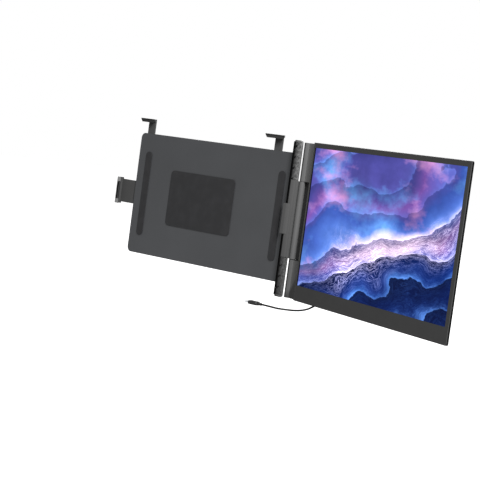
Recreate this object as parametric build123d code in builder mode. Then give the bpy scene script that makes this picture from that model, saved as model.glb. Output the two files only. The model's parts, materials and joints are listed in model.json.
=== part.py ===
"""Clip-on portable monitor: a bracket that grips a laptop lid and a display panel hinged beside it.

Millimetres. +X runs along the lid towards the panel, +Z up the lid, and the user sits on the -Y side.
The origin is the centre of the bracket's middle rest pad, on the face that the lid's back lies on.
"""
from build123d import *
from math import cos, pi, radians, sin, tan
import os

os.makedirs("parts", exist_ok=True)

# Laptop lid that the bracket is set to
lid_width = 341.6
lid_thickness = 6.5
lid_top = 111.5

# Bracket back: a flat box of front plate and rear cover with the slides between them
bracket_left_inset = 30.8
bracket_height = 186.0
bracket_corner = 8.0
front_plate_thickness = 1.5
cavity_depth = 3.8
cover_floor = 5.3
cover_wall = 2.5
cover_edge = 2.0
cover_slope = 5.0
plate_edge = 0.4
pad_thickness = 1.0
middle_pad_width = 130.0
middle_pad_height = 84.0
pad_corner = 6.0
side_pad_width = 12.0
side_pad_height = 130.0
side_pad_inset = 22.0

# Slides: one arm to the left and two hooks upwards
slide_thickness = 2.4
slide_gap = 0.3
guide_width = 2.0
stop_radius = 2.0
stop_gap = 0.3
stop_land = 3.0
clamp_height = -0.8
arm_width = 36.0
arm_travel_out = 45.0
arm_travel_in = 30.0
arm_stop_inset = 40.0
jaw_height = 41.0
jaw_wall = 1.2
jaw_reach = 6.0
jaw_middle_reach = 3.6
jaw_end_height = 7.0
jaw_clearance = 0.2
lip_thickness = 1.2
lip_pad_thickness = 0.4
lip_pad_inset = 2.0
hook_left_inset = 48.5
hook_right_inset = 35.6
hook_stem_width = 14.0
hook_left_width = 29.4
hook_right_width = 36.0
hook_lip_inset = 3.6
hook_corner = 0.8
hook_side_depth = 1.6
hook_rise = 3.9
hook_lip_drop = 1.6
hook_lid_gap = 0.4
hook_edge = 0.7
hook_travel_up = 25.0
hook_travel_down = 15.0
hook_stop_inset = 18.0

# Kickstand on the back
stand_width = 160.0
stand_bottom_inset = 11.0
stand_height = 114.0
stand_thickness = 3.6
stand_gap = 0.4
stand_corner = 9.0
stand_pin_radius = 1.0
stand_pin_bite = 4.0
pin_clearance = 0.05
stand_foot_length = 110.0
stand_foot_height = 4.0
stand_notch_width = 34.0
stand_notch_depth = 7.0

# Hinge column beside the lid
column_width = 13.0
column_front = -7.3
column_thickness = 3.0
column_bottom = -112.2
column_top = 111.2
column_corner = 3.5
side_wall_thickness = 3.0
side_wall_inset = 2.0
tongue_width = 15.9
tongue_inset = 4.0
clip_reach = 5.6
clip_bottom = -22.5
clip_height = 43.4
clip_front = -8.7
clip_blend = 6.4
cushion_gap = 0.2
cushion_width = 2.4
cushion_front = -6.8

# Hinge: a vertical axis with a fixed middle knuckle and two knuckles on the panel
axis_reach = 10.7
axis_y = -8.0
knuckle_radius = 4.3
knuckle_bottom = -55.6
knuckle_top = 54.1
knuckle_gap = 0.4
web_rear = 2.5
web_rise = 1.0
shaft_radius = 2.0
shaft_grip = 20.0
shaft_reach = 24.0
shaft_clearance = 0.05
leaf_length = 34.0
leaf_height = 26.0
leaf_end_gap = 1.5
leaf_slope = 29.4
cap_radius = 3.0
cap_length = 2.0
cap_edge = 0.3

# Display panel, in its own frame: along from the axis, behind the axis, height
rest_turn = -19.55
display_width = 344.2
display_height = 193.6
display_left = 18.4
bezel_left = 14.3
bezel_right = 7.4
bezel_top = 7.2
bezel_chin = 22.0
panel_bottom = -112.1
panel_front = 1.5
bezel_face = 0.8
bezel_depth = 3.4
bezel_wall = 1.5
panel_corner = 2.5
bezel_edge = 0.6
shell_depth = 3.9
shell_wall = 1.4
shell_taper = 55.0
wing_front = -0.1
wing_overlap = 1.7
wing_end_inset = 1.7
wing_blend = 2.0
wing_shoulder = 8.0
gutter_clearance = 0.5
gutter_wall = 1.5
gutter_floor = 5.3
gutter_end_angle = 95.0

# Rear housing for the electronics, low on the back
box_left = 117.0
box_right = 330.0
box_bottom = -107.5
box_top = -50.0
box_depth = 7.2
box_wall = 1.6
box_chamfer = 4.0
box_slope = 6.4
box_edge = 1.2
vent_count = 18
vent_width = 2.0
vent_length = 9.0
vent_pitch = 5.8
vent_centre = 236.0
vent_height = -63.0
grille_count = 6
grille_pitch = 3.8
grille_slot = 1.4
grille_length = 8.4

# Display stack
glass_thickness = 1.2
glass_margin = 2.0
film_thickness = 0.5
guide_thickness = 2.0
guide_margin = 1.0
tray_thickness = 0.5
led_bar_height = 3.0
led_bar_gap = 0.3
leaf_play = 0.1

# Electronics
board_right = 300.0
board_height = 29.0
board_bottom = -88.0
board_strip_width = 13.0
board_gap = 0.4
board_thickness = 1.2
ribbon_width = 40.0
ribbon_thickness = 0.3
ribbon_centre = 215.0
ribbon_drop = 6.0
ribbon_lap = 5.0
socket_depth = 3.6
socket_recess = 0.3
display_socket_height = -101.0
power_socket_height = -84.0
video_socket_height = -66.0
usb_width = 8.94
usb_height = 3.16
usb_length = 7.5
usb_wall = 0.3
usb_cut_gap = 0.2
usb_back = 1.0
blade_thickness = 0.7
blade_width = 6.7
blade_length = 4.4
video_width = 11.2
video_height = 3.4
speaker_length = 30.0
speaker_height = 13.0
speaker_thickness = 3.6
speaker_dome = 0.6
speaker_bottom = -104.5
speaker_inset = 18.0

# Parts on the driver board: along, height, width, tall, thick
board_parts = [
    (220.0, -72.0, 15.0, 15.0, 1.2),
    (250.0, -74.0, 9.0, 9.0, 1.0),
    (165.0, -70.0, 7.0, 7.0, 3.0),
    (178.0, -80.0, 5.0, 5.0, 2.6),
    (150.0, -78.0, 6.0, 9.0, 1.4),
    (276.0, -70.0, 5.0, 12.0, 2.2),
    (292.0, -80.0, 6.0, 8.0, 2.2),
]
board_post_radius = 2.2
board_posts = [(138.0, -63.0), (295.0, -63.0), (200.0, -84.0), (265.0, -84.0)]

# Buttons on the right end of the rear housing
button_count = 3
button_length = 9.0
button_width = 3.2
button_proud = 0.9
button_travel = 0.6
button_gap = 0.25
button_flange = 0.8
button_flange_thickness = 0.8
button_pitch = 13.0
button_lowest = -92.0
switch_size = 3.4
switch_height = 1.6
switch_play = 0.1
button_board_thickness = 1.0
button_board_margin = 6.0
button_board_front = 9.6
rib_thickness = 1.5

# Cable and plugs
cable_diameter = 2.5
bend_share = 0.45
grip_width = 9.6
grip_thickness = 5.4
grip_length = 15.0
grip_corner = 2.0
grip_edge = 1.2
boot_length = 6.0
boot_radius = 2.0
far_plug_x = 174.6
far_plug_y = -59.6
far_plug_z = -121.2
plug_shell_width = 8.25
plug_shell_height = 2.4
plug_shell_length = 6.2
plug_stand_off = 0.3
plug_slot_width = 7.0
plug_slot_height = 1.0
plug_slot_depth = 5.2
cable_exit_run = 14.0
cable_end_run = 12.0

# Places worked out from the sizes above
plate_front = pad_thickness
cavity_front = plate_front + front_plate_thickness
cavity_rear = cavity_front + cavity_depth
cover_rear = cavity_rear + cover_floor
slide_front = cavity_front + slide_gap
slide_rear = slide_front + slide_thickness
runner_height = cavity_rear - slide_rear - slide_gap
half_height = bracket_height / 2
bracket_left = bracket_left_inset - lid_width / 2
stand_bottom = -half_height + stand_bottom_inset
stand_pivot_height = stand_bottom + stand_height
lid_front = -lid_thickness
lip_back = lid_front - lip_pad_thickness
lip_front = lip_back - lip_thickness
column_left = lid_width / 2 + cushion_gap + cushion_width
column_right = column_left + column_width
bracket_right = column_left + side_wall_thickness
stand_centre = (bracket_left + bracket_right) / 2
axis_x = column_right + axis_reach
column_rear = column_front + column_thickness
side_wall_bottom = column_bottom + side_wall_inset
side_wall_top = column_top - side_wall_inset
cavity_right = bracket_right - tongue_width - cover_wall
display_bottom = panel_bottom + bezel_chin
display_top = display_bottom + display_height
display_right = display_left + display_width
panel_top = display_top + bezel_top
panel_right = display_right + bezel_right
shell_front = panel_front + bezel_depth
shell_rear = shell_front + shell_depth
shell_inside = shell_rear - shell_wall
glass_front = panel_front + bezel_face
box_rear = shell_rear + box_depth
box_inside = box_rear - box_wall
leaf_front = glass_front + glass_thickness + film_thickness + guide_thickness + tray_thickness + leaf_play
leaf_thickness = shell_inside - leaf_front

panel_along = Vector(cos(radians(rest_turn)), sin(radians(rest_turn)), 0)
panel_behind = Vector(-sin(radians(rest_turn)), cos(radians(rest_turn)), 0)
axis_point = Vector(axis_x, axis_y, 0)
up = Vector(0, 0, 1)
towards_user = Axis(axis_point, -panel_behind)


def panel_point(along, behind, height):
    """A point of the panel's own frame in the part's frame."""
    return axis_point + panel_along * along + panel_behind * behind + up * height


def panel_face(behind):
    """Plane parallel to the display, seen from the user: x along, y up, normal towards the user."""
    return Plane(origin=panel_point(0, behind, 0), x_dir=panel_along, z_dir=-panel_behind)


def panel_level(height):
    """Level plane through the panel: x along, y behind, normal up."""
    return Plane(origin=panel_point(0, 0, height), x_dir=panel_along, z_dir=up)


def panel_section(along):
    """Plane across the panel: x behind, y up, normal along the panel, away from the hinge."""
    return Plane(origin=panel_point(along, 0, 0), x_dir=panel_behind, z_dir=panel_along)


def bracket_face(depth):
    """Plane parallel to the lid, seen from the user: x to the right, y up, normal towards the user."""
    return Plane(origin=(0, depth, 0), x_dir=(1, 0, 0), z_dir=(0, -1, 0))


def bracket_back(depth):
    """Plane parallel to the lid with its normal to the rear: x to the left, y up."""
    return Plane(origin=(0, depth, 0), x_dir=(-1, 0, 0), z_dir=(0, 1, 0))


def span(x_low, x_high, y_low, y_high, mode=Mode.ADD):
    """Rectangle between two corners in the active sketch."""
    with Locations(((x_low + x_high) / 2, (y_low + y_high) / 2)):
        Rectangle(x_high - x_low, y_high - y_low, mode=mode)


def save(piece, name):
    """Label a finished piece and write it to its own file."""
    piece.part.label = name
    export_step(piece.part, f"parts/{name}.step")


hook_centres = (hook_left_inset - lid_width / 2, lid_width / 2 - hook_right_inset)
arm_inner_end = bracket_left + arm_stop_inset + arm_travel_out + stop_radius + stop_gap + stop_land
hook_inner_end = half_height - hook_stop_inset - hook_travel_up - stop_radius - stop_gap - stop_land
arm_stop_x = bracket_left + arm_stop_inset
hook_stop_z = half_height - hook_stop_inset
stand_left = stand_centre - stand_width / 2
stand_right = stand_centre + stand_width / 2
stand_pivot_y = cover_rear - stand_thickness / 2
stand_recess_floor = cover_rear - stand_thickness - stand_gap
pin_half = stand_width / 2 + stand_gap + stand_pin_bite
pin_end = Plane(origin=(stand_centre - pin_half, stand_pivot_y, stand_pivot_height), z_dir=(1, 0, 0))
roll_end = Plane(origin=(stand_left, stand_pivot_y, stand_pivot_height), z_dir=(1, 0, 0))
foot_low = -stand_centre - stand_foot_length / 2
foot_high = -stand_centre + stand_foot_length / 2
pocket_half = half_height - tongue_inset
arm_half = arm_width / 2
guide_left = bracket_left + cover_wall / 2
guide_right = arm_inner_end + arm_travel_in

# Rear cover of the bracket: a tray with slide guides, a kickstand recess and screw bosses
with BuildPart() as bracket_rear_cover:
    with BuildSketch(bracket_face(cover_rear)) as cover_outline:
        span(bracket_left, bracket_right, -half_height, half_height)
        fillet(cover_outline.vertices().group_by(Axis.X)[0], bracket_corner)
    extrude(amount=cover_rear - cavity_front)
    rear_edges = bracket_rear_cover.faces().sort_by(Axis.Y)[-1].edges()
    chamfer(rear_edges.filter_by(Axis.Z).sort_by(Axis.X)[-1], cover_slope)
    rear_edges = bracket_rear_cover.faces().sort_by(Axis.Y)[-1].edges()
    column_side = rear_edges.filter_by(Axis.Z).sort_by(Axis.X)[-1]
    chamfer([edge for edge in rear_edges if edge != column_side], cover_edge)
    with BuildSketch(bracket_face(cavity_front)) as cavity_outline:
        span(bracket_left + cover_wall, cavity_right, -half_height + cover_wall, half_height - cover_wall)
        fillet(cavity_outline.vertices(), bracket_corner - cover_wall)
    extrude(amount=-cavity_depth, mode=Mode.SUBTRACT)
    with BuildSketch(bracket_face(cavity_front)):
        span(bracket_right - tongue_width, bracket_right, -pocket_half, pocket_half)
    extrude(amount=-cavity_depth, mode=Mode.SUBTRACT)
    with BuildSketch(bracket_face(cavity_front)):
        for side in (-1, 1):
            low = clamp_height + side * (arm_half + slide_gap + guide_width / 2)
            span(guide_left, guide_right, low - guide_width / 2, low + guide_width / 2)
        for centre in hook_centres:
            for side in (-1, 1):
                edge = centre + side * (hook_stem_width / 2 + slide_gap + guide_width / 2)
                guide_foot = hook_inner_end - hook_travel_down
                span(edge - guide_width / 2, edge + guide_width / 2, guide_foot, half_height - 1)
        with Locations((arm_stop_x, clamp_height)):
            Circle(stop_radius)
        with Locations(*[(centre, hook_stop_z) for centre in hook_centres]):
            Circle(stop_radius)
    extrude(amount=-cavity_depth)
    with BuildSketch(bracket_face(cavity_front)):
        span(column_left, bracket_right + 1, -half_height - 1, half_height + 1)
    extrude(amount=-cavity_depth, mode=Mode.SUBTRACT)
    with BuildSketch(bracket_face(cavity_rear - runner_height)):
        for side in (-1, 1):
            low = clamp_height + side * arm_half * 0.6
            span(guide_left, guide_right, low - guide_width / 2, low + guide_width / 2)
        for centre in hook_centres:
            for side in (-1, 1):
                edge = centre + side * hook_stem_width * 0.35
                span(edge - guide_width / 2, edge + guide_width / 2, hook_inner_end, half_height - 1)
    extrude(amount=-runner_height)
    with BuildSketch(bracket_face(cavity_front)):
        mouth_half = arm_half + slide_gap
        mouth_right = bracket_left + cover_wall + bracket_corner
        span(bracket_left - 1, mouth_right, clamp_height - mouth_half, clamp_height + mouth_half)
        for centre in hook_centres:
            half_stem = hook_stem_width / 2 + slide_gap
            mouth_low = half_height - cover_wall - bracket_corner / 2
            span(centre - half_stem, centre + half_stem, mouth_low, half_height + 1)
    extrude(amount=-(cavity_depth - runner_height), mode=Mode.SUBTRACT)
    with BuildSketch(bracket_back(stand_recess_floor)) as recess_outline:
        span(-stand_right - stand_gap, -stand_left + stand_gap, stand_bottom - stand_gap,
             stand_pivot_height + stand_thickness / 2 + stand_gap)
        fillet(recess_outline.vertices().group_by(Axis.Y)[0], stand_corner + stand_gap)
    extrude(amount=stand_thickness + stand_gap + 1, mode=Mode.SUBTRACT)
    with BuildSketch(bracket_back(stand_recess_floor)):
        with Locations((-stand_centre, stand_bottom - stand_gap)):
            SlotOverall(stand_notch_width, 2 * stand_notch_depth)
    extrude(amount=stand_thickness + stand_gap + 1, mode=Mode.SUBTRACT)
    with BuildSketch(pin_end):
        Circle(stand_pin_radius)
    extrude(amount=2 * pin_half, mode=Mode.SUBTRACT)
save(bracket_rear_cover, "bracket_rear_cover")

# Front plate that closes the tray, with pilot holes for the screws
with BuildPart() as bracket_front_plate:
    with BuildSketch(bracket_face(cavity_front)) as plate_outline:
        span(bracket_left, column_left, -half_height, half_height)
        fillet(plate_outline.vertices().group_by(Axis.X)[0], bracket_corner)
    extrude(amount=front_plate_thickness)
    front_edges = bracket_front_plate.faces().sort_by(Axis.Y)[0].edges()
    chamfer(front_edges.filter_by(Axis.Z, reverse=True), plate_edge)
save(bracket_front_plate, "bracket_front_plate")

# Silicone pads that the lid's back lies on
with BuildPart() as middle_rest_pad:
    with BuildSketch(bracket_face(plate_front)):
        RectangleRounded(middle_pad_width, middle_pad_height, pad_corner)
    extrude(amount=pad_thickness)
save(middle_rest_pad, "middle_rest_pad")

with BuildPart() as side_rest_pads:
    pad_spots = [(bracket_left + side_pad_inset, 0), (column_left - side_pad_inset, 0)]
    with BuildSketch(bracket_face(plate_front)):
        with Locations(*pad_spots):
            RectangleRounded(side_pad_width, side_pad_height, side_pad_width / 2 - 0.1)
    extrude(amount=pad_thickness)
save(side_rest_pads, "side_rest_pads")

# Left arm: a flat slide with a jaw that wraps round the lid's left edge
jaw_inside = -lid_width / 2 - jaw_clearance
jaw_outside = jaw_inside - jaw_wall
with BuildPart() as left_clamp_arm:
    with BuildSketch(bracket_face(slide_rear)):
        span(jaw_outside + jaw_wall / 2, arm_inner_end, clamp_height - arm_half, clamp_height + arm_half)
    extrude(amount=slide_thickness)
    with BuildSketch(Plane.XY.offset(clamp_height - jaw_height / 2)) as jaw_profile:
        span(jaw_outside, jaw_inside, lip_front, slide_rear)
        span(jaw_outside, jaw_inside + jaw_reach, lip_front, lip_back)
        fillet(jaw_profile.vertices().group_by(Axis.X)[0], jaw_wall * 0.8)
    extrude(amount=jaw_height)
    with BuildSketch(bracket_face(lip_back)) as jaw_window:
        cut_half = jaw_height / 2 - jaw_end_height
        span(jaw_inside + jaw_middle_reach, jaw_inside + jaw_reach + 1, clamp_height - cut_half,
             clamp_height + cut_half)
    extrude(amount=lip_thickness + 1, mode=Mode.SUBTRACT)
    with BuildSketch(bracket_face(slide_rear)):
        slot_low = arm_stop_x - arm_travel_in
        slot_high = arm_stop_x + arm_travel_out
        with Locations(((slot_low + slot_high) / 2, clamp_height)):
            SlotCenterToCenter(slot_high - slot_low, 2 * (stop_radius + stop_gap))
    extrude(amount=slide_thickness, mode=Mode.SUBTRACT)
save(left_clamp_arm, "left_clamp_arm")

with BuildPart() as left_clamp_pad:
    with BuildSketch(bracket_face(lid_front)):
        pad_half = jaw_height / 2 - lip_pad_inset
        span(jaw_inside, jaw_inside + jaw_reach - 0.8, clamp_height - pad_half, clamp_height + pad_half)
    extrude(amount=lip_pad_thickness)
save(left_clamp_pad, "left_clamp_pad")


def top_hook(centre, width):
    """Hook that slides up out of the bracket and folds over the lid's top edge."""
    left = centre - width / 2
    right = centre + width / 2
    hook_top = lid_top + hook_rise
    lip_bottom = lid_top - hook_lip_drop
    bar_bottom = lid_top + hook_lid_gap
    with BuildPart() as hook:
        with BuildSketch(bracket_face(slide_rear)):
            with BuildLine():
                Polyline(
                    (left + hook_lip_inset, lip_bottom),
                    (right - hook_lip_inset, lip_bottom),
                    (right, hook_top - hook_corner),
                    (right - hook_corner, hook_top),
                    (left + hook_corner, hook_top),
                    (left, hook_top - hook_corner),
                    close=True,
                )
            make_face()
        extrude(amount=slide_rear - lip_front)
        with BuildSketch(Plane.XY.offset(lip_bottom)):
            shoulder_front = lip_front + hook_side_depth
            shoulder_rear = shoulder_front + (width - hook_stem_width) / 2
            with BuildLine():
                Polyline(
                    (left, lip_front),
                    (right, lip_front),
                    (right, shoulder_front),
                    (centre + hook_stem_width / 2, shoulder_rear),
                    (centre + hook_stem_width / 2, slide_rear),
                    (centre - hook_stem_width / 2, slide_rear),
                    (centre - hook_stem_width / 2, shoulder_rear),
                    (left, shoulder_front),
                    close=True,
                )
            make_face()
        extrude(amount=hook_top - lip_bottom, mode=Mode.INTERSECT)
        with BuildSketch(bracket_face(slide_rear)):
            span(left - 1, right + 1, lip_bottom - 1, bar_bottom)
        extrude(amount=slide_rear - lip_back, mode=Mode.SUBTRACT)
        with BuildSketch(bracket_face(slide_rear)):
            span(centre - hook_stem_width / 2, centre + hook_stem_width / 2, hook_inner_end, hook_top)
        extrude(amount=slide_thickness)
        fillet(hook.edges().filter_by(Axis.X).group_by(Axis.Z)[-1].sort_by(Axis.Y)[0], hook_edge)
        with BuildSketch(bracket_face(slide_rear)):
            slot_low = hook_stop_z - hook_travel_up
            slot_high = hook_stop_z + hook_travel_down
            with Locations((centre, (slot_low + slot_high) / 2)):
                SlotCenterToCenter(slot_high - slot_low, 2 * (stop_radius + stop_gap), rotation=90)
        extrude(amount=slide_thickness, mode=Mode.SUBTRACT)
    return hook


def hook_pad(centre, width):
    """Thin pad inside the hook's lip, between it and the lid's bezel."""
    with BuildPart() as pad:
        with BuildSketch(bracket_face(lid_front)):
            half = width / 2 - hook_lip_inset - lip_pad_inset
            span(centre - half, centre + half, lid_top - hook_lip_drop, lid_top - 0.1)
        extrude(amount=lip_pad_thickness)
    return pad


for side, centre, width in zip(("left", "right"), hook_centres, (hook_left_width, hook_right_width)):
    save(top_hook(centre, width), f"top_hook_{side}")
    save(hook_pad(centre, width), f"top_hook_{side}_pad")

# Hinge column: plate beside the lid, wall and tongue into the bracket, clip over the lid's right edge
with BuildPart() as hinge_column:
    with BuildSketch(bracket_face(column_rear)) as column_outline:
        span(column_left, column_right, column_bottom, column_top)
        fillet(column_outline.vertices().group_by(Axis.X)[-1], column_corner)
        fillet(column_outline.vertices().group_by(Axis.X)[0], 1.0)
    extrude(amount=column_thickness)
    with BuildSketch(bracket_face(cavity_rear)):
        span(column_left, bracket_right, side_wall_bottom, side_wall_top)
    extrude(amount=cavity_rear - column_rear)
    with BuildSketch(bracket_face(cavity_rear)):
        tongue_half = half_height - tongue_inset - slide_gap
        span(bracket_right - tongue_width + cushion_gap, column_left + 1, -tongue_half, tongue_half)
    extrude(amount=cavity_depth)
    with BuildSketch(Plane.XY.offset(clip_bottom)):
        with BuildLine():
            clip_left = column_left - clip_reach
            Polyline(
                (clip_left, lip_back),
                (clip_left, clip_front + 0.5),
                (clip_left + 0.5, clip_front),
                (column_left, clip_front),
                (column_left + clip_blend, column_front),
                (column_left + clip_blend, column_front + 0.5),
                (column_left + 0.5, column_front + 0.5),
                (column_left + 0.5, lip_back),
                close=True,
            )
        make_face()
    extrude(amount=clip_height)
    with BuildSketch(Plane.XY.offset(knuckle_bottom)) as knuckle_profile:
        with BuildLine():
            Polyline(
                (column_right - 2.8, column_front),
                (axis_x - knuckle_radius * 0.95, axis_y - web_rise),
                (axis_x, axis_y - web_rise),
                (axis_x, axis_y + web_rear),
                (column_right - 2.0, axis_y + web_rear),
                (column_right - 2.8, axis_y + web_rear - 0.8),
                close=True,
            )
        make_face()
        with Locations((axis_x, axis_y)):
            Circle(knuckle_radius)
    extrude(amount=knuckle_top - knuckle_bottom)
    for end, z_dir in ((knuckle_top, 1), (knuckle_bottom, -1)):
        with BuildSketch(Plane(origin=(axis_x, axis_y, end), z_dir=(0, 0, z_dir))):
            Circle(shaft_radius)
        extrude(amount=-shaft_grip, mode=Mode.SUBTRACT)
save(hinge_column, "hinge_column")

with BuildPart() as right_clip_pad:
    with BuildSketch(bracket_face(lid_front)):
        span(column_left - clip_reach, lid_width / 2 - 0.2, clip_bottom + lip_pad_inset,
             clip_bottom + clip_height - lip_pad_inset)
    extrude(amount=lip_pad_thickness)
save(right_clip_pad, "right_clip_pad")

# Foam strip between the lid's right edge and the column
with BuildPart() as side_cushion:
    with BuildSketch(bracket_face(plate_front)):
        span(lid_width / 2 + cushion_gap, column_left, side_wall_bottom, side_wall_top)
    extrude(amount=plate_front - cushion_front)
save(side_cushion, "side_cushion")


def hinge_shaft(end, direction):
    """Steel shaft pressed into the middle knuckle and running in a panel knuckle."""
    with BuildPart() as shaft:
        root = (axis_x, axis_y, end - direction * shaft_grip)
        with BuildSketch(Plane(origin=root, z_dir=(0, 0, direction))):
            Circle(shaft_radius)
        extrude(amount=shaft_grip + knuckle_gap + shaft_reach)
        chamfer(shaft.faces().sort_by(Axis.Z)[-1 if direction > 0 else 0].edges(), 0.4)
    return shaft


save(hinge_shaft(knuckle_top, 1), "hinge_shaft_upper")
save(hinge_shaft(knuckle_bottom, -1), "hinge_shaft_lower")

# Kickstand with a rolled pivot edge, a rubber foot and its pin
with BuildPart() as kickstand:
    with BuildSketch(bracket_back(cover_rear - stand_thickness)) as stand_outline:
        span(-stand_right, -stand_left, stand_bottom, stand_pivot_height)
        fillet(stand_outline.vertices().group_by(Axis.Y)[0], stand_corner)
    extrude(amount=stand_thickness)
    with BuildSketch(roll_end):
        Circle(stand_thickness / 2)
    extrude(amount=stand_width)
    with BuildSketch(roll_end):
        Circle(stand_pin_radius + pin_clearance)
    extrude(amount=stand_width, mode=Mode.SUBTRACT)
    with BuildSketch(bracket_back(cover_rear - stand_thickness)):
        span(foot_low, foot_high, stand_bottom, stand_bottom + stand_foot_height)
    extrude(amount=stand_thickness, mode=Mode.SUBTRACT)
save(kickstand, "kickstand")

with BuildPart() as kickstand_foot:
    with BuildSketch(bracket_back(cover_rear - stand_thickness)) as foot_outline:
        span(foot_low, foot_high, stand_bottom, stand_bottom + stand_foot_height)
    extrude(amount=stand_thickness)
    fillet(kickstand_foot.edges().filter_by(Axis.X).group_by(Axis.Z)[0], stand_thickness * 0.4)
save(kickstand_foot, "kickstand_foot")

with BuildPart() as kickstand_pin:
    with BuildSketch(pin_end):
        Circle(stand_pin_radius)
    extrude(amount=2 * pin_half)
save(kickstand_pin, "kickstand_pin")

# Front bezel of the display panel: a thin-edged frame with a deep chin
with BuildPart() as front_bezel:
    with BuildSketch(panel_face(shell_front)) as bezel_outline:
        span(bezel_left, panel_right, panel_bottom, panel_top)
        fillet(bezel_outline.vertices().group_by(Axis.X)[-1], panel_corner)
    extrude(amount=bezel_depth)
    chamfer(front_bezel.faces().sort_by(towards_user)[-1].edges(), bezel_edge)
    with BuildSketch(panel_face(shell_front)):
        inner_right = panel_right - bezel_wall
        span(bezel_left + bezel_wall, inner_right, panel_bottom + bezel_wall, panel_top - bezel_wall)
    extrude(amount=bezel_depth - bezel_face, mode=Mode.SUBTRACT)
    with BuildSketch(panel_face(glass_front + 1)):
        span(display_left, display_right, display_bottom, display_top)
    extrude(amount=bezel_face + 2, mode=Mode.SUBTRACT)
save(front_bezel, "front_bezel")

# Block with tapered flanks, used for the shell's outside and its hollow
def tapered_block(inset, front, rear):
    """Panel-shaped block from one depth to another whose top, bottom and right side slope inwards."""
    with BuildPart() as block:
        with BuildSketch(panel_face(front)) as outline:
            span(-40, panel_right - inset, panel_bottom + inset, panel_top - inset)
            fillet(outline.vertices().group_by(Axis.X)[-1], panel_corner)
        extrude(amount=-(rear - front), taper=shell_taper)
        split(bisect_by=panel_section(bezel_left + inset), keep=Keep.TOP)
    return block.part


sockets = {"usb_c_socket_display": display_socket_height, "usb_c_socket_power": power_socket_height}
socket_centre = shell_rear + socket_depth
speaker_lefts = (box_left + speaker_inset, box_right - speaker_inset - speaker_length)
switch_top = box_right - box_wall - button_flange_thickness - button_travel - switch_play
button_board_inner = switch_top - switch_height - button_board_thickness
button_board_low = button_lowest - button_board_margin
button_board_height = (button_count - 1) * button_pitch + 2 * button_board_margin
button_heights = [button_lowest + button_pitch * step for step in range(button_count)]
button_centre = (shell_rear + box_inside) / 2
shell_block = tapered_block(0, shell_front, shell_rear)
shell_hollow = tapered_block(shell_wall, shell_front, shell_inside)
gutter_length = knuckle_top - knuckle_bottom + 2 * knuckle_gap
board_front = socket_centre - usb_height / 2 - board_thickness
board_rear = board_front + board_thickness
board_top = board_bottom + board_height
slope_along = cos(radians(leaf_slope))
slope_behind = sin(radians(leaf_slope))
ring_inner = shaft_radius + shaft_clearance
ring_outer = ring_inner + leaf_thickness


def hinge_leaf(low):
    """Steel strip rolled round the shaft at one end and flat behind the display at the other."""

    def slope_at(radius, behind):
        start = Vector(-slope_behind * radius, slope_along * radius)
        return start, (start.X + (behind - start.Y) * slope_along / slope_behind, behind)

    inner_start, inner_bend = slope_at(ring_inner, leaf_front)
    outer_start, outer_bend = slope_at(ring_outer, shell_inside)
    leaf_end = bezel_left + leaf_length
    with BuildPart() as leaf:
        with BuildSketch(panel_level(low)):
            with BuildLine():
                Polyline(
                    inner_start,
                    outer_start,
                    outer_bend,
                    (leaf_end, shell_inside),
                    (leaf_end, leaf_front),
                    inner_bend,
                    close=True,
                )
            make_face()
            Circle(ring_outer)
            Circle(ring_inner, mode=Mode.SUBTRACT)
        extrude(amount=leaf_height)
    return leaf


leaf_lows = {
    "upper": knuckle_top + knuckle_gap + leaf_end_gap,
    "lower": knuckle_bottom - knuckle_gap - leaf_end_gap - leaf_height,
}
leaves = {side: hinge_leaf(low) for side, low in leaf_lows.items()}
for side, leaf in leaves.items():
    save(leaf, f"hinge_leaf_{side}")

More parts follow.
